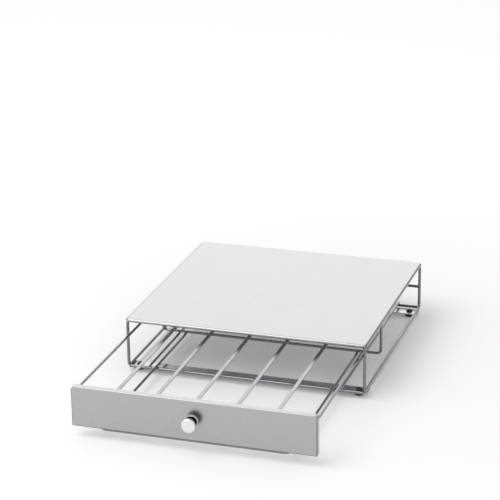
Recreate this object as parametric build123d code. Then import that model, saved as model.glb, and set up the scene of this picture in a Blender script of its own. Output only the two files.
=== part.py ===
from build123d import *
import os

# A drawer stand for single-serve coffee pods: a low wire frame under a sheet-metal deck, and a
# wire drawer with a sheet-metal front and a round knob that slides out of it towards -Y.
# Millimetres, +Z up. The origin is on the table, below the middle of the whole object as it
# stands with its drawer drawn out. The drawer is drawn out by drawer_out.

# --- Frame and deck
frame_width = 324.0
frame_depth = 310.0
frame_height = 75.0
deck_thickness = 0.8
deck_lip_height = 2.6
deck_corner_radius = 6.0
deck_bend_radius = 2.4
frame_wire = 4.0
frame_bend_radius = 6.0
stop_wire_height = 39.5

# --- Feet and the flat strips that carry them
strip_width = 18.0
strip_thickness = 1.5
strip_inset = 16.5
strip_corner_radius = 3.0
foot_inset = 13.5
foot_pad_diameter = 12.0
foot_pad_height = 5.0
foot_pad_rounding = 0.8
foot_neck_diameter = 5.0
foot_head_diameter = 9.0
foot_head_height = 3.5
foot_hole_clearance = 0.2

# --- Guide rails on the floor of the frame
guide_wire = 3.5
guide_inset = 29.7
wire_end_chamfer = 0.5

# --- Drawer
drawer_out = 200.0
drawer_wire = 3.5
drawer_bend_radius = 6.0
lane_count = 6
lane_strip_width = 5.0
lane_strip_thickness = 1.5
rail_drop = 8.6
panel_thickness = 1.0
panel_lip_depth = 8.0
panel_corner_radius = 5.0
panel_foot_radius = 1.5
panel_bend_radius = 1.5
runner_bend_radius = 8.0
runner_set_back = 4.0

# --- Room between the drawer and the frame
sliding_clearance = 0.3
panel_side_gap = 2.2
panel_top_gap = 3.9
panel_proud = 12.0
runner_side_gap = 6.0
hoop_top_gap = 2.0

# --- Knob and its screw
knob_length = 16.0
knob_face_diameter = 18.0
knob_face_thickness = 4.5
knob_face_bevel = 1.2
knob_neck_diameter = 9.0
knob_waist_diameter = 8.0
knob_base_diameter = 15.0
knob_base_thickness = 2.2
knob_base_rounding = 0.8
knob_thread_depth = 10.0
screw_diameter = 4.0
screw_clearance = 0.1
screw_grip = 8.0
screw_head_diameter = 8.0
screw_head_height = 2.6
screw_slot_width = 1.2
screw_slot_depth = 1.1

# --- Places that follow from the sizes above
front_y = (drawer_out + knob_length - frame_depth) / 2
rear_y = front_y + frame_depth
wire_inset = deck_thickness + frame_wire / 2
side_x = frame_width / 2 - wire_inset
front_wire_y = front_y + wire_inset
rear_wire_y = rear_y - wire_inset
strip_top_z = foot_pad_height + strip_thickness
bottom_z = strip_top_z + frame_wire / 2
top_z = frame_height - deck_thickness - frame_wire / 2
cross_half = side_x - frame_wire / 2
guide_x = side_x - guide_inset
guide_z = bottom_z + (frame_wire + guide_wire) / 2

face_y = front_y - drawer_out
panel_back_y = face_y + panel_thickness
panel_half = cross_half - panel_side_gap
runner_x = guide_x - (guide_wire + drawer_wire) / 2 - runner_side_gap
runner_z = bottom_z + (frame_wire + drawer_wire) / 2 + sliding_clearance
runner_y = face_y + runner_set_back
panel_bottom_z = runner_z + drawer_wire / 2
panel_top_z = top_z - frame_wire / 2 - panel_top_gap
rail_x = panel_half - panel_thickness - drawer_wire / 2
rail_z = panel_top_z - rail_drop
rail_inner_x = rail_x - drawer_wire / 2
rest_z = rail_z + drawer_wire / 2
lane_wire_z = rest_z - lane_strip_thickness - drawer_wire / 2
lane_pitch = (2 * rail_inner_x + lane_strip_width) / lane_count

closed_hoop_y = rear_wire_y - (frame_wire + drawer_wire) / 2 - sliding_clearance
hoop_y = face_y + panel_proud + (closed_hoop_y - front_y)
hoop_bottom_z = runner_z + drawer_wire
hoop_top_z = frame_height - deck_thickness - hoop_top_gap - drawer_wire / 2
push_in_travel = closed_hoop_y - hoop_y
pull_out_travel = hoop_y - front_wire_y - (frame_wire + drawer_wire) / 2 - sliding_clearance


def straight_wire(start, end, diameter, end_chamfer=0.0):
    """A cut length of round wire between two points."""
    run = Vector(*end) - Vector(*start)
    wire = extrude(Plane(origin=start, z_dir=run) * Circle(diameter / 2), amount=run.length)
    if end_chamfer > 0:
        wire = chamfer(wire.edges().filter_by(GeomType.CIRCLE), end_chamfer)
    return wire


def bent_wire(points, diameter, bend_radius):
    """Round wire bent through the points."""
    path = FilletPolyline(*points, radius=bend_radius)
    return swept_wire(path, diameter)


def wire_loop(plane, width, height, diameter, bend_radius):
    """Round wire bent into a closed rectangle around the plane's origin."""
    outline = plane * RectangleRounded(width, height, bend_radius)
    return swept_wire(outline.wire(), diameter)


def swept_wire(path, diameter):
    """Round bar along a path."""
    section = Plane(origin=path @ 0, z_dir=path % 0) * Circle(diameter / 2)
    return sweep(section, path=path)


def make_deck():
    """Sheet-metal top with its rim turned down around the wires."""
    middle_y = (front_y + rear_y) / 2
    rim_z = frame_height - deck_lip_height
    inner_width = frame_width - 2 * deck_thickness
    inner_depth = frame_depth - 2 * deck_thickness
    outer = RectangleRounded(frame_width, frame_depth, deck_corner_radius)
    inner = RectangleRounded(inner_width, inner_depth, deck_corner_radius - deck_thickness)
    blank = extrude(Pos(0, middle_y, rim_z) * outer, amount=deck_lip_height)
    blank = fillet(blank.faces().sort_by(Axis.Z)[-1].edges(), deck_bend_radius)
    hollow = extrude(Pos(0, middle_y, rim_z) * inner, amount=deck_lip_height - deck_thickness)
    inner_bend = deck_bend_radius - deck_thickness
    hollow = fillet(hollow.faces().sort_by(Axis.Z)[-1].edges(), inner_bend)
    return blank - hollow


def make_side_loop(side):
    """One bent rectangle of wire: a front post, a rear post, a foot bar and a deck bar."""
    middle = (side * side_x, (front_wire_y + rear_wire_y) / 2, (bottom_z + top_z) / 2)
    plane = Plane(origin=middle, x_dir=(0, 1, 0), z_dir=(1, 0, 0))
    return wire_loop(plane, rear_wire_y - front_wire_y, top_z - bottom_z, frame_wire, frame_bend_radius)


def make_frame_cross(y, z):
    """Wire welded between the two side loops."""
    return straight_wire((-cross_half, y, z), (cross_half, y, z), frame_wire)


def make_guide_rail(side):
    """Wire lying on the bottom cross wires, which guides and carries the drawer's rear."""
    x = side * guide_x
    start = (x, front_wire_y - frame_wire / 2, guide_z)
    end = (x, rear_wire_y + frame_wire / 2, guide_z)
    return straight_wire(start, end, guide_wire, wire_end_chamfer)


def foot_places(strip_y):
    """Centres of the two feet on one strip."""
    foot_x = frame_width / 2 - foot_inset
    return [(-foot_x, strip_y), (foot_x, strip_y)]


def make_foot_strip(strip_y):
    """Flat bar under the side loops, with a hole for each rubber foot."""
    length = 2 * side_x + frame_wire
    blank = extrude(RectangleRounded(length, strip_width, strip_corner_radius), amount=strip_thickness)
    blank = Pos(0, strip_y, foot_pad_height) * blank
    hole_radius = foot_neck_diameter / 2 + foot_hole_clearance
    for x, y in foot_places(strip_y):
        blank -= Pos(x, y, foot_pad_height + strip_thickness / 2) * Cylinder(hole_radius, 2 * strip_thickness)
    return blank


def make_foot(x, y):
    """Push-in rubber foot: a pad below the strip, a neck in its hole and a domed head above."""
    pad = Pos(0, 0, foot_pad_height / 2) * Cylinder(foot_pad_diameter / 2, foot_pad_height)
    pad = fillet(pad.edges().filter_by(GeomType.CIRCLE), foot_pad_rounding)
    neck_z = foot_pad_height + strip_thickness / 2
    neck = Pos(0, 0, neck_z) * Cylinder(foot_neck_diameter / 2, strip_thickness)
    half_head = foot_head_diameter / 2
    dome_radius = (half_head ** 2 + foot_head_height ** 2) / (2 * foot_head_height)
    dome = Pos(0, 0, strip_top_z + foot_head_height - dome_radius) * Sphere(dome_radius)
    dome &= Pos(0, 0, strip_top_z + foot_head_height) * Cylinder(foot_head_diameter, 2 * foot_head_height)
    return Pos(x, y, 0) * (pad + neck + dome)


def make_panel():
    """Sheet-metal drawer front, with its edges turned back and the top corners rounded."""
    middle_z = (panel_top_z + panel_bottom_z) / 2
    back_y = face_y + panel_lip_depth
    height = panel_top_z - panel_bottom_z
    outer = panel_outline(2 * panel_half, height, panel_corner_radius, panel_foot_radius)
    inner_corner = panel_corner_radius - panel_thickness
    inner_foot = panel_foot_radius - panel_thickness
    inner_width = 2 * (panel_half - panel_thickness)
    inner = panel_outline(inner_width, height - 2 * panel_thickness, inner_corner, inner_foot)
    blank = extrude(Plane.XZ.offset(-back_y) * Pos(0, middle_z) * outer, amount=panel_lip_depth)
    blank = fillet(blank.faces().sort_by(Axis.Y)[0].edges(), panel_bend_radius - panel_thickness / 2)
    hollow_depth = panel_lip_depth - panel_thickness
    hollow = extrude(Plane.XZ.offset(-back_y) * Pos(0, middle_z) * inner, amount=hollow_depth)
    hole_radius = screw_diameter / 2 + screw_clearance
    hole = Pos(0, face_y, middle_z) * Rot(90, 0, 0) * Cylinder(hole_radius, 4 * panel_thickness)
    return blank - hollow - hole


def panel_outline(width, height, top_radius, bottom_radius):
    """Rectangle with one radius on its top corners and another on its bottom corners."""
    outline = Rectangle(width, height)
    outline = fillet(outline.vertices().sort_by(Axis.Y)[2:], top_radius)
    return fillet(outline.vertices().sort_by(Axis.Y)[:2], bottom_radius)


def make_rail(side):
    """Side rail of the drawer, welded to the panel's side lip and to the rear hoop."""
    x = side * rail_x
    return straight_wire((x, panel_back_y, rail_z), (x, hoop_y - drawer_wire / 2, rail_z), drawer_wire)


def make_lane_cross(y):
    """Wire between the side rails that the lane strips are welded on."""
    return straight_wire((-rail_inner_x, y, lane_wire_z), (rail_inner_x, y, lane_wire_z), drawer_wire)


def make_lane_strip(x):
    """Flat strip between two lanes of pods, level with the top of the side rails."""
    end_y = hoop_y + drawer_wire / 2
    length = end_y - panel_back_y
    blank = Box(lane_strip_width, length, lane_strip_thickness)
    return Pos(x, (end_y + panel_back_y) / 2, rest_z - lane_strip_thickness / 2) * blank


def make_hoop():
    """Rear hoop: its foot slides on the guide rails and its crown is caught below the deck."""
    plane = Plane(origin=(0, hoop_y, (hoop_bottom_z + hoop_top_z) / 2), x_dir=(1, 0, 0), z_dir=(0, -1, 0))
    return wire_loop(plane, 2 * rail_x, hoop_top_z - hoop_bottom_z, drawer_wire, drawer_bend_radius)


def make_runner():
    """U-shaped wire: it crosses under the panel and runs back on each side to the hoop."""
    end_y = hoop_y + drawer_wire / 2
    corners = [(-runner_x, end_y, runner_z), (-runner_x, runner_y, runner_z)]
    corners += [(runner_x, runner_y, runner_z), (runner_x, end_y, runner_z)]
    return bent_wire(corners, drawer_wire, runner_bend_radius)


def knob_axis_z():
    """Height of the knob: half way up the panel."""
    return (panel_top_z + panel_bottom_z) / 2


def make_knob():
    """Turned knob: a base flange against the panel, a waisted neck and a bevelled face."""
    face_radius = knob_face_diameter / 2
    neck_radius = knob_neck_diameter / 2
    base_radius = knob_base_diameter / 2
    face_back = knob_length - knob_face_thickness
    waist = (knob_waist_diameter / 2, (knob_base_thickness + face_back) / 2)
    half = Polyline((0, 0), (base_radius, 0), (base_radius, knob_base_thickness))
    half += Line((base_radius, knob_base_thickness), (neck_radius, knob_base_thickness))
    half += ThreePointArc((neck_radius, knob_base_thickness), waist, (neck_radius, face_back))
    half += Polyline((neck_radius, face_back), (face_radius, face_back), (face_radius, knob_length))
    half += Polyline((face_radius, knob_length), (0, knob_length), (0, 0))
    body = revolve(Plane.XZ * make_face(half), Axis.Z)
    rims = body.edges().filter_by(GeomType.CIRCLE)
    body = chamfer(rims.group_by(Axis.Z)[-1], knob_face_bevel)
    back_rim = body.edges().filter_by(GeomType.CIRCLE).filter_by(lambda e: abs(e.radius - face_radius) < 0.01)
    body = fillet(back_rim, knob_face_bevel / 2)
    base_rim = body.edges().filter_by(GeomType.CIRCLE).filter_by(lambda e: abs(e.radius - base_radius) < 0.01)
    body = fillet(base_rim.group_by(Axis.Z)[-1], knob_base_rounding)
    bore = Cylinder(screw_diameter / 2 + screw_clearance, knob_thread_depth)
    body -= Pos(0, 0, knob_thread_depth / 2) * bore
    return Pos(0, face_y, knob_axis_z()) * Rot(90, 0, 0) * body


def make_screw():
    """Slotted pan-head screw that holds the knob from behind the panel."""
    shank_length = panel_thickness + screw_grip
    shank = Pos(0, 0, shank_length / 2) * Cylinder(screw_diameter / 2, shank_length)
    head = Pos(0, 0, -screw_head_height / 2) * Cylinder(screw_head_diameter / 2, screw_head_height)
    head = fillet(head.edges().sort_by(Axis.Z)[0], screw_head_height / 2)
    slot = Box(screw_head_diameter, screw_slot_width, screw_slot_depth)
    head -= Pos(0, 0, screw_slot_depth / 2 - screw_head_height) * slot
    return Pos(0, panel_back_y, knob_axis_z()) * Rot(90, 0, 0) * (shank + head)


def build_parts():
    """Every piece of the stand under its own name."""
    front_strip_y = front_y + strip_inset
    rear_strip_y = rear_y - strip_inset
    feet = foot_places(front_strip_y) + foot_places(rear_strip_y)
    foot_names = ["foot_front_left", "foot_front_right", "foot_rear_left", "foot_rear_right"]
    pieces = {
        "deck": make_deck(),
        "left_side_loop": make_side_loop(-1),
        "right_side_loop": make_side_loop(1),
        "front_deck_wire": make_frame_cross(front_wire_y, top_z),
        "rear_deck_wire": make_frame_cross(rear_wire_y, top_z),
        "rear_stop_wire": make_frame_cross(rear_wire_y, stop_wire_height),
        "front_floor_wire": make_frame_cross(front_wire_y, bottom_z),
        "rear_floor_wire": make_frame_cross(rear_wire_y, bottom_z),
        "left_guide_rail": make_guide_rail(-1),
        "right_guide_rail": make_guide_rail(1),
        "front_foot_strip": make_foot_strip(front_strip_y),
        "rear_foot_strip": make_foot_strip(rear_strip_y),
    }
    for name, (x, y) in zip(foot_names, feet):
        pieces[name] = make_foot(x, y)
    pieces["drawer_front"] = make_panel()
    pieces["drawer_left_rail"] = make_rail(-1)
    pieces["drawer_right_rail"] = make_rail(1)
    pieces["drawer_front_cross"] = make_lane_cross(panel_back_y + drawer_wire / 2)
    pieces["drawer_rear_cross"] = make_lane_cross(hoop_y)
    pieces["drawer_rear_hoop"] = make_hoop()
    pieces["drawer_runner"] = make_runner()
    for index in range(1, lane_count):
        pieces[f"lane_strip_{index}"] = make_lane_strip((index - lane_count / 2) * lane_pitch)
    pieces["knob"] = make_knob()
    pieces["knob_screw"] = make_screw()
    return pieces


if __name__ == "__main__":
    os.makedirs("parts", exist_ok=True)
    for name, piece in build_parts().items():
        export_step(piece, f"parts/{name}.step")
    print(f"drawer travel from rest: in {push_in_travel:.2f} mm, out {pull_out_travel:.2f} mm")
    print(f"lane width {lane_pitch - lane_strip_width:.2f} mm, drawer front {2 * panel_half:.1f} mm wide")
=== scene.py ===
import math

import bmesh
import bpy
from mathutils import Matrix, Vector


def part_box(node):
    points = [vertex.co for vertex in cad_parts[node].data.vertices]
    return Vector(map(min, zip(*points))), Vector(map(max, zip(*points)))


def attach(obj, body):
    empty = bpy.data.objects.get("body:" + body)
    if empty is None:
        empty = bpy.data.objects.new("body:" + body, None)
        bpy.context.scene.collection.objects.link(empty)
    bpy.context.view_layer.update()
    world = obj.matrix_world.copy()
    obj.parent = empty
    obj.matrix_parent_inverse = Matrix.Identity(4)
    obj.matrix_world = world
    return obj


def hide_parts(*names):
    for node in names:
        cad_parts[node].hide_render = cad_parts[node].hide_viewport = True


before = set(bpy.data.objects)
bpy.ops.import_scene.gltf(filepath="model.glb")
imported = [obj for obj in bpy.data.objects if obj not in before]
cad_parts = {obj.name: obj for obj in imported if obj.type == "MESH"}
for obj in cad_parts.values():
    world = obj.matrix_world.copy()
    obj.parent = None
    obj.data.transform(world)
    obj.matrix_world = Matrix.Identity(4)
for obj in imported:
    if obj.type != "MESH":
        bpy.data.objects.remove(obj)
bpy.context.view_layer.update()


# --- Camera
# A long lens looks down on the stand from the front, a little from its right-hand side.
# The fitted view has a slight roll, and its target floats above the deck.
camera_target = Vector((0.0, -0.01488, 0.17509))
camera_distance = 2.46978
camera_azimuth = math.radians(17.97)
camera_elevation = math.radians(20.10)
camera_roll = math.radians(-0.74)
photo_focal_pixels = 1941.89
photo_width_pixels = 500
sensor_mm = 36.0

back = Vector((
    math.sin(camera_azimuth) * math.cos(camera_elevation),
    -math.cos(camera_azimuth) * math.cos(camera_elevation),
    math.sin(camera_elevation),
))
level_right = Vector((0, 0, 1)).cross(back).normalized()
level_up = back.cross(level_right)
right = level_right * math.cos(camera_roll) + level_up * math.sin(camera_roll)
up = back.cross(right)

lens = bpy.data.cameras.new("camera")
lens.sensor_width = sensor_mm
lens.lens = photo_focal_pixels * sensor_mm / photo_width_pixels
lens.clip_start = 0.05
lens.clip_end = 50.0
camera = bpy.data.objects.new("camera", lens)
bpy.context.scene.collection.objects.link(camera)
camera.matrix_world = Matrix.Translation(camera_target + back * camera_distance) @ Matrix(
    (right, up, back)).transposed().to_4x4()
bpy.context.scene.camera = camera


# --- Frame wires: side loops, cross wires and guide rails
# Hard drawn steel wire, bent or cut to length, welded together and then plated as one piece.
# The plating is bright, with a faint ripple left by the drawing die and a haze where it was wiped.
cross_wires = [
    "front_deck_wire", "rear_deck_wire", "rear_stop_wire", "front_floor_wire", "rear_floor_wire",
]
frame_wires = ["left_side_loop", "right_side_loop", *cross_wires, "left_guide_rail", "right_guide_rail"]
plating_colour = (0.235, 0.237, 0.244)
plating_roughness = 0.12
smudge_start = 0.50
smudge_full = 0.72


def add(tree, kind, sockets=None, **settings):
    """Adds a node: settings are its own options, sockets gives each input a value or a link."""
    node = tree.nodes.new(kind)
    for option, choice in settings.items():
        setattr(node, option, choice)
    for place, value in (sockets or {}).items():
        if isinstance(value, bpy.types.NodeSocket):
            tree.links.new(value, node.inputs[place])
        else:
            node.inputs[place].default_value = value
    return node


def reckon(tree, operation, first, second):
    """Result of one sum with two numbers or sockets."""
    return add(tree, "ShaderNodeMath", {0: first, 1: second}, operation=operation).outputs[0]


def object_place(tree):
    """Place on the object, in metres."""
    return add(tree, "ShaderNodeTexCoord").outputs["Object"]


def shader_group(name, inputs, outputs):
    """An empty shader node group, with the sockets that its nodes link to."""
    tree = bpy.data.node_groups.new(name, "ShaderNodeTree")
    for label, kind, value in inputs:
        tree.interface.new_socket(label, in_out="INPUT", socket_type=kind).default_value = value
    for label, kind in outputs:
        tree.interface.new_socket(label, in_out="OUTPUT", socket_type=kind)
    return tree, tree.nodes.new("NodeGroupInput").outputs, tree.nodes.new("NodeGroupOutput").inputs


def centred_noise(tree, vector, size, strength, detail):
    """Noise of features of this size, spread about zero by this strength."""
    scale = reckon(tree, "DIVIDE", 1.0, size)
    noise = add(tree, "ShaderNodeTexNoise", {"Vector": vector, "Scale": scale, "Detail": detail})
    swing = reckon(tree, "SUBTRACT", noise.outputs["Fac"], 0.5)
    whole_swing = reckon(tree, "MULTIPLY", swing, 2.0)
    return reckon(tree, "MULTIPLY", whole_swing, strength)


def make_uneven_tone():
    """A colour that drifts in broad clouds and in small specks."""
    tree, inputs, outputs = shader_group("uneven_tone", [
        ("Vector", "NodeSocketVector", (0, 0, 0)),
        ("Colour", "NodeSocketColor", (0.5, 0.5, 0.5, 1)),
        ("Cloud Size", "NodeSocketFloat", 0.08),
        ("Cloud Strength", "NodeSocketFloat", 0.03),
        ("Speck Size", "NodeSocketFloat", 0.0006),
        ("Speck Strength", "NodeSocketFloat", 0.03),
    ], [("Colour", "NodeSocketColor")])
    clouds = centred_noise(tree, inputs["Vector"], inputs["Cloud Size"], inputs["Cloud Strength"], 3.0)
    specks = centred_noise(tree, inputs["Vector"], inputs["Speck Size"], inputs["Speck Strength"], 1.0)
    factor = reckon(tree, "ADD", reckon(tree, "ADD", clouds, specks), 1.0)
    scaled = add(tree, "ShaderNodeVectorMath", {0: inputs["Colour"], "Scale": factor}, operation="SCALE")
    tree.links.new(scaled.outputs[0], outputs["Colour"])
    return tree


def make_handling_haze():
    """A roughness that rises in smudges left by fingers and cloths, over a fine unevenness."""
    tree, inputs, outputs = shader_group("handling_haze", [
        ("Vector", "NodeSocketVector", (0, 0, 0)),
        ("Roughness", "NodeSocketFloat", 0.3),
        ("Smudge Size", "NodeSocketFloat", 0.03),
        ("Smudge Strength", "NodeSocketFloat", 0.08),
        ("Fine Size", "NodeSocketFloat", 0.002),
        ("Fine Strength", "NodeSocketFloat", 0.012),
    ], [("Roughness", "NodeSocketFloat")])
    scale = reckon(tree, "DIVIDE", 1.0, inputs["Smudge Size"])
    noise = add(tree, "ShaderNodeTexNoise", {
        "Vector": inputs["Vector"], "Scale": scale, "Detail": 4.0, "Roughness": 0.6, "Distortion": 0.7})
    smudge = add(tree, "ShaderNodeMapRange", {
        "Value": noise.outputs["Fac"], "From Min": smudge_start, "From Max": smudge_full},
        interpolation_type="SMOOTHSTEP")
    rise = reckon(tree, "MULTIPLY", smudge.outputs[0], inputs["Smudge Strength"])
    fine = centred_noise(tree, inputs["Vector"], inputs["Fine Size"], inputs["Fine Strength"], 2.0)
    total = reckon(tree, "ADD", reckon(tree, "ADD", inputs["Roughness"], rise), fine)
    tree.links.new(total, outputs["Roughness"])
    return tree


def make_fine_relief():
    """A height of small bumps, which Stretch draws out along the working direction of the metal."""
    tree, inputs, outputs = shader_group("fine_relief", [
        ("Vector", "NodeSocketVector", (0, 0, 0)),
        ("Size", "NodeSocketFloat", 0.001),
        ("Stretch", "NodeSocketVector", (1, 1, 1)),
        ("Detail", "NodeSocketFloat", 2.0),
    ], [("Height", "NodeSocketFloat")])
    drawn = add(tree, "ShaderNodeVectorMath", {0: inputs["Vector"], 1: inputs["Stretch"]}, operation="DIVIDE")
    scale = reckon(tree, "DIVIDE", 1.0, inputs["Size"])
    noise = add(tree, "ShaderNodeTexNoise", {
        "Vector": drawn.outputs[0], "Scale": scale, "Detail": inputs["Detail"]})
    tree.links.new(noise.outputs["Fac"], outputs["Height"])
    return tree


uneven_tone = make_uneven_tone()
handling_haze = make_handling_haze()
fine_relief = make_fine_relief()


def make_finish(name, colour, roughness, metallic, clouds, specks, smudges, relief):
    """A surface whose tone, gloss and relief vary.

    clouds, specks and smudges are (size, strength); relief is (size, depth, stretch). Sizes in metres.
    """
    material = bpy.data.materials.new(name)
    material.use_nodes = True
    tree = material.node_tree
    surface = tree.nodes["Principled BSDF"]
    surface.inputs["Metallic"].default_value = metallic
    place = object_place(tree)
    tone = add(tree, "ShaderNodeGroup", {
        "Vector": place, "Colour": (*colour, 1), "Cloud Size": clouds[0], "Cloud Strength": clouds[1],
        "Speck Size": specks[0], "Speck Strength": specks[1]}, node_tree=uneven_tone)
    gloss = add(tree, "ShaderNodeGroup", {
        "Vector": place, "Roughness": roughness, "Smudge Size": smudges[0],
        "Smudge Strength": smudges[1]}, node_tree=handling_haze)
    height = add(tree, "ShaderNodeGroup", {
        "Vector": place, "Size": relief[0], "Stretch": relief[2]}, node_tree=fine_relief)
    bump = add(tree, "ShaderNodeBump", {"Distance": relief[1], "Height": height.outputs["Height"]})
    tree.links.new(tone.outputs["Colour"], surface.inputs["Base Color"])
    tree.links.new(gloss.outputs["Roughness"], surface.inputs["Roughness"])
    tree.links.new(bump.outputs["Normal"], surface.inputs["Normal"])
    return material


def dress(node_name, material):
    """Gives a CAD node its finish, and leaves its shape alone."""
    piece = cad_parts[node_name]
    piece.data.materials.clear()
    piece.data.materials.append(material)


plated_wire = make_finish(
    "plated_wire", plating_colour, plating_roughness, metallic=1.0,
    clouds=(0.05, 0.08), specks=(0.0007, 0.04), smudges=(0.02, 0.07),
    relief=(0.0035, 0.000005, (1, 1, 1)))
for node_name in frame_wires:
    dress(node_name, plated_wire)


# --- Frame welds
# Small beads and collars of weld metal where the wires butt, cross or lie under the deck.
# They were plated over with the wires, so they shine alike, a little duller and lumpier.
frame_bead_radius = 0.0008
deck_bead_length = 0.008
deck_bead_pitch = 0.062
deck_bead_margin = 0.03
foot_bead_length = 0.011
outer_foot_bead_radius = 0.7 * frame_bead_radius
crossing_bead_radius = 0.0017
crossing_bead_height = 1.3 * crossing_bead_radius
guide_bead_radius = 1.1 * crossing_bead_radius
weld_collar_swell = 0.27
weld_unevenness = 0.00022
weld_lumps_per_metre = 900.0
weld_sides = 14
bead_rings = 9
collar_ring_sides = 28
weld_shade = 0.9
weld_roughness = 0.28

# How far a bead's middle lies from the wire's axis or the sheet, as a share of the wire's or bead's radius.
beside_wire = 0.85
beside_foot_bar = 0.8
proud_of_sheet = 0.3


def make_weld_tree():
    """Puts a bead or a collar on every point, along the point's run and at its size."""
    tree = bpy.data.node_groups.new("weld_metal", "GeometryNodeTree")
    inputs = [
        ("Joints", "NodeSocketGeometry", None), ("Sides", "NodeSocketInt", weld_sides),
        ("Collar Swell", "NodeSocketFloat", weld_collar_swell),
        ("Unevenness", "NodeSocketFloat", weld_unevenness), ("Metal", "NodeSocketMaterial", None),
    ]
    for label, kind, value in inputs:
        socket = tree.interface.new_socket(label, in_out="INPUT", socket_type=kind)
        if value is not None:
            socket.default_value = value
    tree.interface.new_socket("Welds", in_out="OUTPUT", socket_type="NodeSocketGeometry")
    given = tree.nodes.new("NodeGroupInput").outputs
    run = add(tree, "GeometryNodeInputNamedAttribute", {"Name": "run"}, data_type="FLOAT_VECTOR")
    size = add(tree, "GeometryNodeInputNamedAttribute", {"Name": "size"}, data_type="FLOAT_VECTOR")
    is_collar = add(tree, "GeometryNodeInputNamedAttribute", {"Name": "collar"}, data_type="BOOLEAN")
    is_bead = add(tree, "FunctionNodeBooleanMath", {0: is_collar.outputs["Attribute"]}, operation="NOT")
    turn = add(tree, "FunctionNodeAlignRotationToVector", {"Vector": run.outputs["Attribute"]}, axis="Z")
    ball = add(tree, "GeometryNodeMeshUVSphere", {
        "Segments": given["Sides"], "Rings": bead_rings, "Radius": 1.0})
    ring = add(tree, "GeometryNodeCurvePrimitiveCircle", {"Resolution": collar_ring_sides, "Radius": 1.0})
    section = add(tree, "GeometryNodeCurvePrimitiveCircle", {
        "Resolution": given["Sides"], "Radius": given["Collar Swell"]})
    tube = add(tree, "GeometryNodeCurveToMesh", {
        "Curve": ring.outputs["Curve"], "Profile Curve": section.outputs["Curve"]})
    placed = []
    for chosen, shape in ((is_bead.outputs[0], ball.outputs["Mesh"]),
                          (is_collar.outputs["Attribute"], tube.outputs["Mesh"])):
        placed.append(add(tree, "GeometryNodeInstanceOnPoints", {
            "Points": given["Joints"], "Selection": chosen, "Instance": shape,
            "Rotation": turn.outputs["Rotation"], "Scale": size.outputs["Attribute"]}))
    joined = tree.nodes.new("GeometryNodeJoinGeometry")
    for copies in placed:
        tree.links.new(copies.outputs["Instances"], joined.inputs["Geometry"])
    solid = add(tree, "GeometryNodeRealizeInstances", {"Geometry": joined.outputs["Geometry"]})
    lumps = add(tree, "ShaderNodeTexNoise", {"Scale": weld_lumps_per_metre, "Detail": 1.0})
    swing = reckon(tree, "SUBTRACT", lumps.outputs["Fac"], 0.5)
    amount = reckon(tree, "MULTIPLY", swing, given["Unevenness"])
    outwards = tree.nodes.new("GeometryNodeInputNormal")
    push = add(tree, "ShaderNodeVectorMath", {
        0: outwards.outputs["Normal"], "Scale": amount}, operation="SCALE")
    lumpy = add(tree, "GeometryNodeSetPosition", {
        "Geometry": solid.outputs["Geometry"], "Offset": push.outputs[0]})
    smooth = add(tree, "GeometryNodeSetShadeSmooth", {"Geometry": lumpy.outputs["Geometry"]})
    metal = add(tree, "GeometryNodeSetMaterial", {
        "Geometry": smooth.outputs["Geometry"], "Material": given["Metal"]})
    tree.links.new(metal.outputs["Geometry"], tree.nodes.new("NodeGroupOutput").inputs["Welds"])
    return tree


def bead(x, y, z, run, length, radius):
    """A drop of weld metal along a run."""
    return {"place": (x, y, z), "run": run, "size": (radius, radius, length / 2), "collar": False}


def collar(x, y, z, run, radius):
    """A ring of weld metal where a wire of this radius butts another piece."""
    return {"place": (x, y, z), "run": run, "size": (radius,) * 3, "collar": True}


def weld(name, joints):
    """Bakes all the joints of one body into one plain mesh."""
    points = bpy.data.meshes.new(name + "_points")
    points.from_pydata([joint["place"] for joint in joints], [], [])
    for label, kind in (("run", "FLOAT_VECTOR"), ("size", "FLOAT_VECTOR"), ("collar", "BOOLEAN")):
        attribute = points.attributes.new(label, kind, "POINT")
        for item, joint in zip(attribute.data, joints):
            if kind == "BOOLEAN":
                item.value = joint[label]
            else:
                item.vector = joint[label]
    holder = bpy.data.objects.new(name + "_points", points)
    bpy.context.scene.collection.objects.link(holder)
    modifier = holder.modifiers.new("welds", "NODES")
    modifier.node_group = weld_tree
    sockets = {item.name: item.identifier for item in weld_tree.interface.items_tree
               if item.item_type == "SOCKET" and item.in_out == "INPUT"}
    modifier[sockets["Unevenness"]] = weld_unevenness
    modifier[sockets["Metal"]] = plated_weld
    bpy.context.view_layer.update()
    evaluated = holder.evaluated_get(bpy.context.evaluated_depsgraph_get())
    mesh = bpy.data.meshes.new_from_object(evaluated)
    bpy.data.objects.remove(holder)
    piece = bpy.data.objects.new(name, mesh)
    bpy.context.scene.collection.objects.link(piece)
    return piece


def middle(node_name):
    """Middle of a node's box."""
    low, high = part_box(node_name)
    return (low + high) / 2


def spread(first, last, pitch):
    """Evenly spaced places between two ends, at about this pitch."""
    count = max(1, round((last - first) / pitch))
    return [first + (last - first) * (step + 0.5) / count for step in range(count)]


weld_tree = make_weld_tree()
plated_weld = make_finish(
    "plated_weld", tuple(weld_shade * part for part in plating_colour), weld_roughness, metallic=1.0,
    clouds=(0.004, 0.15), specks=(0.0004, 0.12), smudges=(0.003, 0.12),
    relief=(0.0006, 0.00004, (1, 1, 1)))

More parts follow.
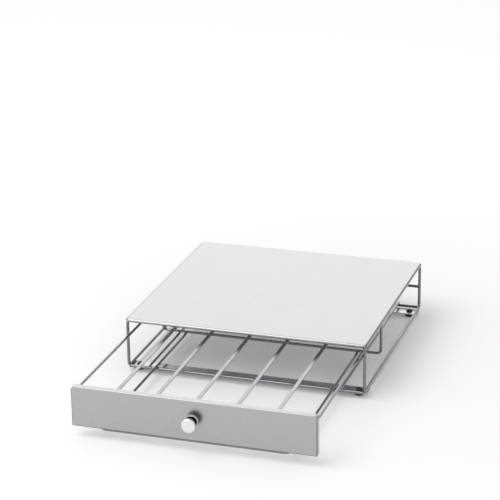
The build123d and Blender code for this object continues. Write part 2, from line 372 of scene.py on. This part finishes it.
loop_low, loop_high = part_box("right_side_loop")
wire_radius = (loop_high.x - loop_low.x) / 2
bar_x = (loop_low.x + loop_high.x) / 2
inner_x = bar_x - beside_wire * wire_radius
outer_x = bar_x + beside_foot_bar * wire_radius
guide_x = middle("right_guide_rail").x
cross_end_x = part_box("rear_stop_wire")[1].x
strip_top_z = loop_low.z
deck_under_z = loop_high.z
frame_joints = []
for side in (-1, 1):
    for cross in cross_wires:
        centre = middle(cross)
        frame_joints.append(collar(side * cross_end_x, centre.y, centre.z, (1, 0, 0), wire_radius))
    for cross in ("front_floor_wire", "rear_floor_wire"):
        crossing_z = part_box(cross)[1].z
        frame_joints.append(bead(
            side * guide_x, middle(cross).y, crossing_z, (0, 0, 1),
            crossing_bead_height, guide_bead_radius))
    for strip in ("front_foot_strip", "rear_foot_strip"):
        strip_y = middle(strip).y
        frame_joints.append(bead(
            side * inner_x, strip_y, strip_top_z + proud_of_sheet * frame_bead_radius, (0, 1, 0),
            foot_bead_length, frame_bead_radius))
        frame_joints.append(bead(
            side * outer_x, strip_y, strip_top_z, (0, 1, 0), foot_bead_length, outer_foot_bead_radius))
    for y in spread(loop_low.y + deck_bead_margin, loop_high.y - deck_bead_margin, deck_bead_pitch):
        frame_joints.append(bead(
            side * inner_x, y, deck_under_z - proud_of_sheet * frame_bead_radius, (0, 1, 0),
            deck_bead_length, frame_bead_radius))
for cross, inwards in (("front_deck_wire", 1), ("rear_deck_wire", -1)):
    for x in spread(-cross_end_x + deck_bead_margin, cross_end_x - deck_bead_margin, deck_bead_pitch):
        frame_joints.append(bead(
            x, middle(cross).y + inwards * beside_wire * wire_radius,
            deck_under_z - proud_of_sheet * frame_bead_radius, (1, 0, 0),
            deck_bead_length, frame_bead_radius))
frame_welds = weld("frame_welds", frame_joints)
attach(frame_welds, "frame")


# --- Deck
# One sheet of steel with its rim turned down over the wires, in a satin silver coat.
# The coat has an even, fine orange peel; along the side bends its colour is darkened as painted shade, and it
# is a little rougher there.
coat_colour = (0.440, 0.441, 0.446)
coat_roughness = 0.27
coat_metallic = 0.92
# Painted shade: across the bends the coat's colour is scaled down to this share.
painted_bend_shade = 0.30
bend_roughness_rise = 0.04
deck_bend_width = 0.0024
bend_fullness = 5.0
bend_patchiness = 0.6
beyond = 10.0


def make_bend_line():
    """A mask that peaks half way across a bend of this width, along the sides of a box."""
    tree, inputs, outputs = shader_group("bend_line", [
        ("Vector", "NodeSocketVector", (0, 0, 0)),
        ("Centre", "NodeSocketVector", (0, 0, 0)),
        ("Half Size", "NodeSocketVector", (1, 1, 1)),
        ("Width", "NodeSocketFloat", 0.002),
        ("Patch Size", "NodeSocketFloat", 0.01),
    ], [("Mask", "NodeSocketFloat")])
    offset = add(tree, "ShaderNodeVectorMath", {
        0: inputs["Vector"], 1: inputs["Centre"]}, operation="SUBTRACT")
    reach = add(tree, "ShaderNodeVectorMath", {0: offset.outputs[0]}, operation="ABSOLUTE")
    excess = add(tree, "ShaderNodeVectorMath", {
        0: reach.outputs[0], 1: inputs["Half Size"]}, operation="SUBTRACT")
    axes = add(tree, "ShaderNodeSeparateXYZ", {0: excess.outputs[0]}).outputs
    outermost = reckon(tree, "MAXIMUM", reckon(tree, "MAXIMUM", axes["X"], axes["Y"]), axes["Z"])
    start = reckon(tree, "MULTIPLY", inputs["Width"], -1.0)
    across = add(tree, "ShaderNodeMapRange", {
        "Value": outermost, "From Min": start, "From Max": 0.0}).outputs[0]
    arch = reckon(tree, "MULTIPLY", across, reckon(tree, "SUBTRACT", 1.0, across))
    patches = centred_noise(tree, inputs["Vector"], inputs["Patch Size"], bend_patchiness, 3.0)
    uneven = reckon(tree, "ADD", patches, bend_fullness)
    mask = add(tree, "ShaderNodeMath", {0: arch, 1: uneven}, operation="MULTIPLY", use_clamp=True)
    tree.links.new(mask.outputs[0], outputs["Mask"])
    return tree


bend_line = make_bend_line()


def tint(material, mask, colour):
    """Turns a finish to another colour where the mask is 1."""
    tree = material.node_tree
    base = tree.nodes["Principled BSDF"].inputs["Base Color"]
    mixed = add(tree, "ShaderNodeMix", {
        "Factor": mask, 6: base.links[0].from_socket, 7: colour}, data_type="RGBA")
    tree.links.new(mixed.outputs[2], base)


def make_satin_coat(name, low, high, bend_width):
    """The satin silver coat, with painted shade and a little more roughness in the bends along the sides of a
    box between two corners.
    """
    material = make_finish(
        name, coat_colour, coat_roughness, metallic=coat_metallic,
        clouds=(0.12, 0.012), specks=(0.0005, 0.014), smudges=(0.045, 0.020),
        relief=(0.0011, 0.0000022, (1, 1, 1)))
    tree = material.node_tree
    surface = tree.nodes["Principled BSDF"]
    # The mask across the bends, where the colour is darkened as painted shade.
    thin = add(tree, "ShaderNodeGroup", {
        "Vector": object_place(tree), "Centre": (low + high) / 2, "Half Size": (high - low) / 2,
        "Width": bend_width}, node_tree=bend_line).outputs["Mask"]
    coat = surface.inputs["Base Color"].links[0].from_socket
    dark = add(tree, "ShaderNodeVectorMath", {0: coat, "Scale": painted_bend_shade}, operation="SCALE")
    tint(material, thin, dark.outputs[0])
    rough = surface.inputs["Roughness"].links[0].from_socket
    shift = add(tree, "ShaderNodeMath", {0: thin, 1: bend_roughness_rise, 2: rough}, operation="MULTIPLY_ADD")
    tree.links.new(shift.outputs[0], surface.inputs["Roughness"])
    return material


deck_low, deck_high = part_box("deck")
deck_coat = make_satin_coat(
    "satin_silver_deck", Vector((deck_low.x, -beyond, -beyond)), Vector((deck_high.x, beyond, beyond)),
    deck_bend_width)
dress("deck", deck_coat)


# --- Foot strips
# Flat bars of cold-rolled steel under the side loops, plated with the wires.
# Their edges are rolled round, and the rolling lines run along the bar.
strip_edge_radius = 0.00035
strip_edge_steps = 3
strip_colour = (0.46, 0.462, 0.47)
strip_roughness = 0.26
flat_within = math.radians(1)
sharp_beyond = math.radians(40)
same_place = 1e-6

foot_strip_metal = make_finish(
    "plated_flat_bar", strip_colour, strip_roughness, metallic=1.0,
    clouds=(0.03, 0.06), specks=(0.0008, 0.03), smudges=(0.02, 0.08),
    relief=(0.0005, 0.000005, (40, 1, 1)))


def make_foot_strip(node_name, piece_name):
    """A copy of a CAD strip with its sharp edges rolled round."""
    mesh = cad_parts[node_name].data.copy()
    solid = bmesh.new()
    solid.from_mesh(mesh)
    bmesh.ops.remove_doubles(solid, verts=solid.verts, dist=same_place)
    bmesh.ops.dissolve_limit(solid, angle_limit=flat_within, verts=solid.verts, edges=solid.edges)
    sharp = [edge for edge in solid.edges if len(edge.link_faces) == 2
             and edge.calc_face_angle() > sharp_beyond]
    bmesh.ops.bevel(
        solid, geom=sharp, offset=strip_edge_radius, segments=strip_edge_steps, profile=0.5, affect="EDGES")
    bmesh.ops.recalc_face_normals(solid, faces=solid.faces)
    for face in solid.faces:
        face.smooth = True
    solid.to_mesh(mesh)
    solid.free()
    mesh.materials.clear()
    mesh.materials.append(foot_strip_metal)
    piece = bpy.data.objects.new(piece_name, mesh)
    bpy.context.scene.collection.objects.link(piece)
    settle = piece.modifiers.new("flat_faces", "WEIGHTED_NORMAL")
    settle.keep_sharp = False
    settle.weight = 100
    return piece


for strip in ("front_foot_strip", "rear_foot_strip"):
    bar = make_foot_strip(strip, strip + "_bar")
    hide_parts(strip)
    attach(bar, "frame")


# --- Rubber feet
# Moulded black rubber plugs, pushed up through the strips: a domed head above, a pad below.
# The rubber is matt, slightly grainy, and greys where it rubs on the table.
rubber_colour = (0.012, 0.012, 0.013)
rubber_roughness = 0.52
scuff_grey = (0.055, 0.054, 0.052, 1)
scuff_height = 0.0016

rubber = make_finish(
    "black_rubber", rubber_colour, rubber_roughness, metallic=0.0,
    clouds=(0.004, 0.25), specks=(0.0003, 0.20), smudges=(0.004, 0.16),
    relief=(0.0003, 0.00003, (1, 1, 1)))


def scuff_the_sole(material):
    """Greys the rubber towards the table."""
    tree = material.node_tree
    height = add(tree, "ShaderNodeSeparateXYZ", {0: object_place(tree)}).outputs["Z"]
    scuffed = add(tree, "ShaderNodeMapRange", {
        "Value": height, "From Min": scuff_height, "From Max": 0.0}).outputs[0]
    tint(material, scuffed, scuff_grey)


scuff_the_sole(rubber)
for foot in ("foot_front_left", "foot_front_right", "foot_rear_left", "foot_rear_right"):
    dress(foot, rubber)


# --- Drawer front
# Steel sheet folded back on all four sides, with the deck's coat.
# The knob's screw passes through its middle, and the drawer's wires are welded behind it.
front_bend_width = 0.0012

front_low, front_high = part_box("drawer_front")
# Its coat is darkened along the side and bottom bends as painted shade.
front_coat = make_satin_coat(
    "satin_silver_front", Vector((front_low.x, -beyond, front_low.z)), Vector((front_high.x, beyond, beyond)),
    front_bend_width)
dress("drawer_front", front_coat)


# --- Drawer wires: rails, crosses, rear hoop and runner
# The same plated wire as the frame's, a little thinner, welded into a light cage.
# It hangs from the drawer front at one end and slides on the guide rails at the other.
drawer_wires = [
    "drawer_left_rail", "drawer_right_rail", "drawer_front_cross", "drawer_rear_cross",
    "drawer_rear_hoop", "drawer_runner",
]
for node_name in drawer_wires:
    dress(node_name, plated_wire)


# --- Lane strips
# Five flat strips of cold-rolled steel between the lanes, spot-welded on the two cross wires.
# Each has rolled edges, lines along it from the rolls and a shallow electrode mark over each weld.
lane_edge_radius = 0.0005
lane_edge_steps = 4
lane_top_steps = 10
mark_radius = 0.0017
mark_depth = 0.00016
mark_steps = 8
level_with_top = 1e-7
lane_colour = (0.32, 0.322, 0.33)
lane_roughness = 0.24

lane_metal = make_finish(
    "rolled_strip_steel", lane_colour, lane_roughness, metallic=1.0,
    clouds=(0.04, 0.07), specks=(0.0008, 0.05), smudges=(0.03, 0.10),
    relief=(0.0004, 0.000004, (1, 60, 1)))


def strip_outline(width, thickness):
    """Closed outline of the strip's section about its middle, with more points across its top."""
    outline = []
    corners = [(1, -1, -90), (1, 1, 0), (-1, 1, 90), (-1, -1, 180)]
    for side, level, first_degrees in corners:
        centre_x = side * (width / 2 - lane_edge_radius)
        centre_z = level * (thickness / 2 - lane_edge_radius)
        for step in range(lane_edge_steps + 1):
            angle = math.radians(first_degrees + 90 * step / lane_edge_steps)
            outline.append((centre_x + lane_edge_radius * math.cos(angle),
                            centre_z + lane_edge_radius * math.sin(angle)))
        if (side, level) == (1, 1):
            for step in range(1, lane_top_steps):
                outline.append((centre_x * (1 - 2 * step / lane_top_steps), thickness / 2))
    return outline


def electrode_dent(x, y, marks):
    """Depth of the strip's top at a place, from the marks along its middle."""
    nearest = min(math.hypot(x, y - mark) for mark in marks)
    return mark_depth * max(0.0, 1 - (nearest / mark_radius) ** 2) ** 2


def make_lane_strip(name, low, high, marks):
    """A strip along Y that fills this box."""
    centre_x = (low.x + high.x) / 2
    centre_z = (low.z + high.z) / 2
    stations = {low.y, high.y}
    for mark in marks:
        for step in range(-mark_steps, mark_steps + 1):
            station = mark + mark_radius * step / mark_steps
            if low.y < station < high.y:
                stations.add(station)
    outline = strip_outline(high.x - low.x, high.z - low.z)
    top = (high.z - low.z) / 2
    solid = bmesh.new()
    rings = []
    for y in sorted(stations):
        ring = []
        for x, z in outline:
            sunk = electrode_dent(x, y, marks) if z > top - level_with_top else 0.0
            ring.append(solid.verts.new((centre_x + x, y, centre_z + z - sunk)))
        rings.append(ring)
    count = len(outline)
    for ring, following in zip(rings, rings[1:]):
        for index in range(count):
            after = (index + 1) % count
            solid.faces.new((ring[index], following[index], following[after], ring[after]))
    solid.faces.new(rings[0])
    solid.faces.new(list(reversed(rings[-1])))
    bmesh.ops.recalc_face_normals(solid, faces=solid.faces)
    for face in solid.faces:
        face.smooth = len(face.verts) == 4
    for edge in solid.edges:
        edge.smooth = all(face.smooth for face in edge.link_faces)
    mesh = bpy.data.meshes.new(name)
    solid.to_mesh(mesh)
    solid.free()
    mesh.materials.append(lane_metal)
    piece = bpy.data.objects.new(name, mesh)
    bpy.context.scene.collection.objects.link(piece)
    return piece


lane_strips = [f"lane_strip_{number}" for number in range(1, 6)]
weld_lines = [middle("drawer_front_cross").y, middle("drawer_rear_cross").y]
for strip in lane_strips:
    low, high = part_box(strip)
    rolled = make_lane_strip(strip + "_rolled", low, high, weld_lines)
    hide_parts(strip)
    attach(rolled, "drawer")


# --- Drawer welds
# Beads and collars that hold the cage together and to the back of the drawer front.
# Those at the strips are small, pressed flat between the strip and the wire under it.
drawer_bead_radius = 0.0007
front_bead_length = 0.006
front_bead_pitch = 0.052
runner_bead_pitch = 0.06
rail_bead_length = 0.005
rail_bead_from_end = 0.6 * rail_bead_length
strip_widths_per_bead = 1.16

# Places of the beads, as shares of a radius like those of the frame's.
above_and_below_rail = 0.85
beside_rail = 0.75
below_cross = 0.75
behind_runner = 0.8
off_front = 0.4

rail_low, rail_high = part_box("drawer_right_rail")
rail_x = (rail_low.x + rail_high.x) / 2
rail_z = (rail_low.z + rail_high.z) / 2
thin_radius = (rail_high.x - rail_low.x) / 2
cross_low, cross_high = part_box("drawer_front_cross")
cross_z = (cross_low.z + cross_high.z) / 2
runner_low, runner_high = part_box("drawer_runner")
hoop_y = middle("drawer_rear_hoop").y
runner_leg_x = runner_high.x - thin_radius
runner_cross_y = runner_low.y + thin_radius
drawer_joints = []
for side in (-1, 1):
    for level in (-1, 1):
        drawer_joints.append(bead(
            side * (rail_x + beside_rail * thin_radius), rail_low.y + rail_bead_from_end,
            rail_z + level * above_and_below_rail * thin_radius, (0, 1, 0),
            rail_bead_length, drawer_bead_radius))
    drawer_joints.append(collar(side * rail_x, rail_high.y, rail_z, (0, 1, 0), thin_radius))
    for cross in ("drawer_front_cross", "drawer_rear_cross"):
        drawer_joints.append(collar(side * cross_high.x, middle(cross).y, cross_z, (1, 0, 0), thin_radius))
    drawer_joints.append(bead(
        side * runner_leg_x, hoop_y, runner_high.z, (0, 0, 1),
        crossing_bead_height, crossing_bead_radius))
for strip in lane_strips:
    low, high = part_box(strip)
    for cross in ("drawer_front_cross", "drawer_rear_cross"):
        drawer_joints.append(bead(
            middle(strip).x, middle(cross).y, cross_high.z, (1, 0, 0),
            strip_widths_per_bead * (high.x - low.x), drawer_bead_radius))
for x in spread(-cross_high.x, cross_high.x, front_bead_pitch):
    drawer_joints.append(bead(
        x, cross_low.y + off_front * drawer_bead_radius, cross_z - below_cross * thin_radius, (1, 0, 0),
        front_bead_length, drawer_bead_radius))
for x in spread(-runner_leg_x, runner_leg_x, runner_bead_pitch):
    drawer_joints.append(bead(
        x, runner_cross_y + behind_runner * thin_radius,
        runner_high.z - proud_of_sheet * drawer_bead_radius, (1, 0, 0),
        front_bead_length, drawer_bead_radius))
drawer_welds = weld("drawer_welds", drawer_joints)
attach(drawer_welds, "drawer")


# --- Knob
# Turned from solid bar and plated bright: a flange on the drawer front, a waist and a bevelled disc.
# Fine rings from the turning tool still show in the plating, and the waist behind the disc is painted dark as
# painted shade.
knob_colour = (0.79, 0.79, 0.80)
# Painted shade: the colour of the waist behind the disc.
painted_waist_shade = (0.10, 0.10, 0.105, 1)
knob_flange_thickness = 0.0022
knob_disc_thickness = 0.0045
knob_blend = 0.0006
knob_roughness = 0.07
turning_pitch = 0.00035
turning_depth = 0.0000022
turning_wobble = 0.4

knob_metal = make_finish(
    "bright_knob_plating", knob_colour, knob_roughness, metallic=1.0,
    clouds=(0.01, 0.02), specks=(0.0005, 0.015), smudges=(0.006, 0.06),
    relief=(0.0008, 0.0000015, (1, 1, 1)))


def add_turning_rings(material, axis_place, pitch, depth):
    """Rings about an axis along Y, over the relief that the finish already has."""
    tree = material.node_tree
    surface = tree.nodes["Principled BSDF"]
    centred = add(tree, "ShaderNodeMapping", {
        "Vector": object_place(tree), "Location": (-axis_place.x, 0, -axis_place.z)})
    rings = add(tree, "ShaderNodeTexWave", {
        "Vector": centred.outputs["Vector"], "Scale": math.pi / (10 * pitch),
        "Distortion": turning_wobble}, wave_type="RINGS", rings_direction="Y")
    over = add(tree, "ShaderNodeBump", {
        "Distance": depth, "Height": rings.outputs["Fac"],
        "Normal": surface.inputs["Normal"].links[0].from_socket})
    tree.links.new(over.outputs["Normal"], surface.inputs["Normal"])


def paint_shade_on_waist(material):
    """Paints shade on the plating between the back of the disc and the face of the flange."""
    tree = material.node_tree
    knob_front, knob_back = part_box("knob")
    disc_back_y = knob_front.y + knob_disc_thickness
    flange_face_y = knob_back.y - knob_flange_thickness
    along = add(tree, "ShaderNodeSeparateXYZ", {0: object_place(tree)}).outputs["Y"]
    behind_disc = add(tree, "ShaderNodeMapRange", {
        "Value": along, "From Min": disc_back_y - knob_blend, "From Max": disc_back_y}).outputs[0]
    before_flange = add(tree, "ShaderNodeMapRange", {
        "Value": along, "From Min": flange_face_y + knob_blend, "From Max": flange_face_y}).outputs[0]
    tint(material, reckon(tree, "MULTIPLY", behind_disc, before_flange), painted_waist_shade)


add_turning_rings(knob_metal, middle("knob"), turning_pitch, turning_depth)
paint_shade_on_waist(knob_metal)
dress("knob", knob_metal)


# --- Knob screw
# A slotted pan-head machine screw with thin bright zinc, driven from behind the drawer front.
# Its head keeps the rings of the cold-heading die.
zinc_colour = (0.56, 0.575, 0.60)
zinc_roughness = 0.30
die_ring_pitch = 2 * turning_pitch
die_ring_depth = 3 * turning_depth

zinc = make_finish(
    "bright_zinc", zinc_colour, zinc_roughness, metallic=1.0,
    clouds=(0.003, 0.12), specks=(0.0003, 0.08), smudges=(0.003, 0.12),
    relief=(0.0004, 0.000006, (1, 1, 1)))
add_turning_rings(zinc, middle("knob_screw"), die_ring_pitch, die_ring_depth)
dress("knob_screw", zinc)


# --- Floor
# A wide sweep of smooth white paper, lit with the object, which keeps its shadow.
# Seen by the camera or in bright metal, the paper is a step whiter than it is lit, and more so far out.
floor_half = 6.0
paper_white = 0.88
paper_roughness = 0.8
paper_gloss = 0.2
near_lift = 0.15
far_lift = 0.29
near_reach = 0.30
far_reach = 1.10


def seen_directly(tree):
    """1 for a ray from the camera or from a mirror or glass, 0 for light that is spread."""
    ray = add(tree, "ShaderNodeLightPath").outputs
    seen = reckon(tree, "MAXIMUM", ray["Is Camera Ray"], ray["Is Glossy Ray"])
    return reckon(tree, "MAXIMUM", seen, ray["Is Transmission Ray"])


def make_paper():
    """White paper, lifted towards white where it is seen directly, and more so away from the object."""
    material = bpy.data.materials.new("white_paper")
    material.use_nodes = True
    tree = material.node_tree
    surface = tree.nodes["Principled BSDF"]
    surface.inputs["Roughness"].default_value = paper_roughness
    surface.inputs["Specular IOR Level"].default_value = paper_gloss
    surface.inputs["Base Color"].default_value = (paper_white, paper_white, paper_white, 1)
    surface.inputs["Emission Color"].default_value = (1, 1, 1, 1)
    reach = add(tree, "ShaderNodeVectorMath", {0: object_place(tree)}, operation="LENGTH")
    whitening = add(tree, "ShaderNodeMapRange", {
        "Value": reach.outputs["Value"], "From Min": near_reach, "From Max": far_reach,
        "To Min": near_lift, "To Max": far_lift}, interpolation_type="SMOOTHSTEP")
    lift = reckon(tree, "MULTIPLY", seen_directly(tree), whitening.outputs[0])
    tree.links.new(lift, surface.inputs["Emission Strength"])
    return material


floor_mesh = bpy.data.meshes.new("floor")
floor_mesh.from_pydata([
    (-floor_half, -floor_half, 0), (floor_half, -floor_half, 0),
    (floor_half, floor_half, 0), (-floor_half, floor_half, 0)], [], [(0, 1, 2, 3)])
floor = bpy.data.objects.new("floor", floor_mesh)
bpy.context.scene.collection.objects.link(floor)
floor.data.materials.append(make_paper())


# --- Lamps and studio
# A large soft box lights the stand from above and to the left, in a studio that is white all round.
# A wider, weaker one stands behind and lights no matt surface: it shows only in reflections.
key_place = (-1.0, -0.9, 2.0)
key_size = (1.8, 1.8)
key_watts = 23
back_place = (-0.6, 2.7, 1.22)
back_size = (2.8, 1.35)
back_watts = 9.2
studio_fill = 0.68


def soft_box(name, place, size, watts):
    """A rectangular lamp aimed at the foot of the object."""
    lamp = bpy.data.lights.new(name, "AREA")
    lamp.shape = "RECTANGLE"
    lamp.size, lamp.size_y = size
    lamp.energy = watts
    holder = bpy.data.objects.new(name, lamp)
    bpy.context.scene.collection.objects.link(holder)
    holder.location = place
    holder.rotation_euler = (-Vector(place)).to_track_quat("-Z", "Y").to_euler()
    return holder


soft_box("key_soft_box", key_place, key_size, key_watts)
back_glow = soft_box("back_glow", back_place, back_size, back_watts)
back_glow.visible_diffuse = False

studio = bpy.data.worlds.new("studio")
bpy.context.scene.world = studio
studio.use_nodes = True
white = studio.node_tree.nodes["Background"]
white.inputs["Color"].default_value = (1, 1, 1, 1)
strength = add(studio.node_tree, "ShaderNodeMapRange", {
    "Value": seen_directly(studio.node_tree), "To Min": studio_fill, "To Max": 1.0})
studio.node_tree.links.new(strength.outputs[0], white.inputs["Strength"])

bpy.context.scene.view_settings.view_transform = "Standard"
